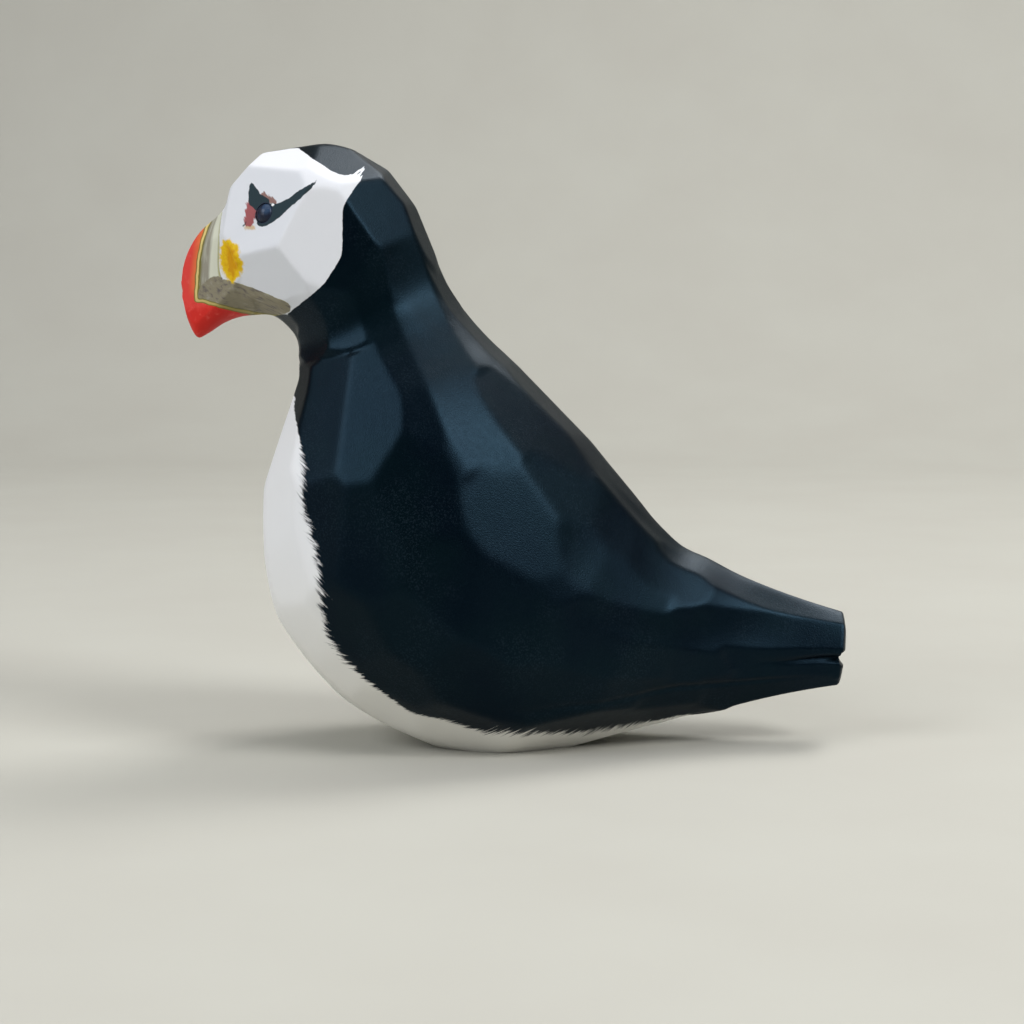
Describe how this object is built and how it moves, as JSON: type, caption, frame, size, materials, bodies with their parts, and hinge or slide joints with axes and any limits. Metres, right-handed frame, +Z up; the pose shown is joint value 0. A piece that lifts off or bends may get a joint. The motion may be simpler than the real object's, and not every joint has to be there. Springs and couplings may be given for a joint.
{
  "type": "wooden bird figurine",
  "caption": "Hand-carved, painted wooden puffin that sits on its belly, with knife-cut facets, a deep beak and bead eyes.",
  "frame": {"origin": "centre of the bounding box in plan, in the plane of the flat that the bird stands on", "axes": "-X along the beak, +X along the tail, -Y to the bird's left side, +Z up"},
  "size_m": [0.1198, 0.0538, 0.1078],
  "materials": {
    "painted_wood": "hand-painted, satin",
    "bead": "gloss"
  },
  "bodies": {
    "root": {"bird": "painted_wood", "eye_left": "bead", "eye_right": "bead"}
  },
  "joints": []
}
